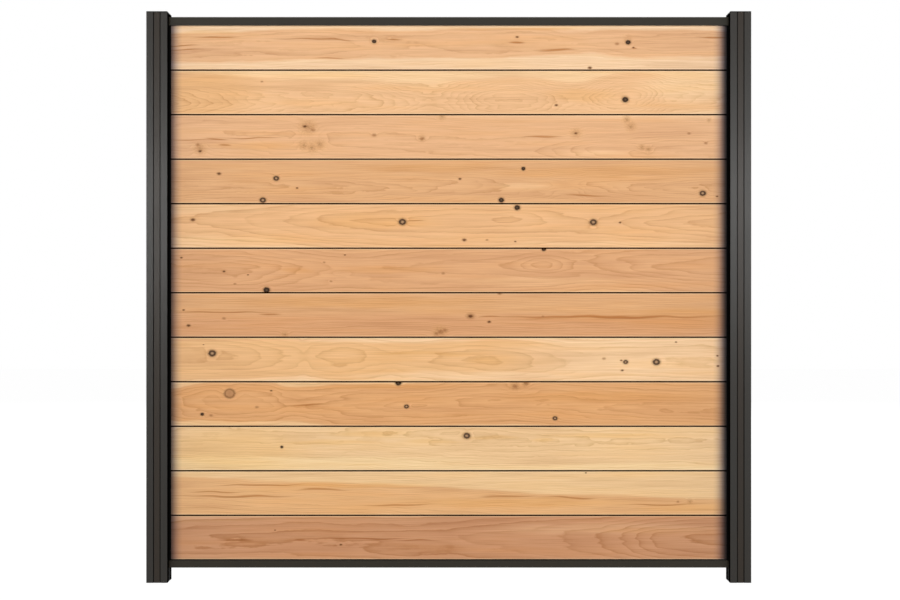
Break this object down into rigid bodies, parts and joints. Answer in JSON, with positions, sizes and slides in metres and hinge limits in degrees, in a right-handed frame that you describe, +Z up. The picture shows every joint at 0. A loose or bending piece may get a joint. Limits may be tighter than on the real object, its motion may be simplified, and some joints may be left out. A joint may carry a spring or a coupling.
{
  "type": "fence panel",
  "caption": "Privacy fence panel of horizontal tongue-and-groove boards held between slotted aluminium posts, with top and bottom rails, rubber gaskets and post caps.",
  "frame": {"origin": "on the ground, midway between the two posts and at the middle of their depth", "axes": "+X along the fence to the right as seen from its front, +Y from the front to the back, +Z up"},
  "size_m": [1.936, 0.0706, 1.829],
  "materials": {
    "honey_softwood": "planed softwood with knots, clear matt oil",
    "pale_softwood": "planed softwood with knots, clear matt oil",
    "rose_softwood": "planed softwood with knots, clear matt oil",
    "brown_softwood": "planed softwood with knots, clear matt oil",
    "post_coating": "satin dark bronze-grey powder coat over extruded aluminium",
    "strip_coating": "satin dark bronze-grey powder coat over extruded aluminium",
    "rail_coating": "satin dark bronze-grey powder coat over extruded aluminium",
    "gasket_rubber": "matt black extruded rubber",
    "cap_plastic": "fine-textured dark moulded plastic",
    "spacer_plastic": "moulded black plastic",
    "screw_steel": "dark coated steel"
  },
  "bodies": {
    "root": {"board_01": "honey_softwood", "board_04": "honey_softwood", "board_02": "pale_softwood", "board_05": "pale_softwood", "board_08": "pale_softwood", "board_10": "pale_softwood", "board_11": "pale_softwood", "board_03": "rose_softwood", "board_06": "rose_softwood", "board_07": "rose_softwood", "board_09": "rose_softwood", "board_12": "brown_softwood", "left_post": "post_coating", "right_post": "post_coating", "left_front_strip": "strip_coating", "left_rear_strip": "strip_coating", "left_outer_strip": "strip_coating", "right_front_strip": "strip_coating", "right_rear_strip": "strip_coating", "right_outer_strip": "strip_coating", "bottom_rail": "rail_coating", "top_rail": "rail_coating", "left_front_gasket": "gasket_rubber", "left_rear_gasket": "gasket_rubber", "right_front_gasket": "gasket_rubber", "right_rear_gasket": "gasket_rubber", "left_post_cap": "cap_plastic", "right_post_cap": "cap_plastic", "left_rail_spacer": "spacer_plastic", "right_rail_spacer": "spacer_plastic", "left_rail_screws": "screw_steel", "right_rail_screws": "screw_steel"}
  },
  "joints": []
}
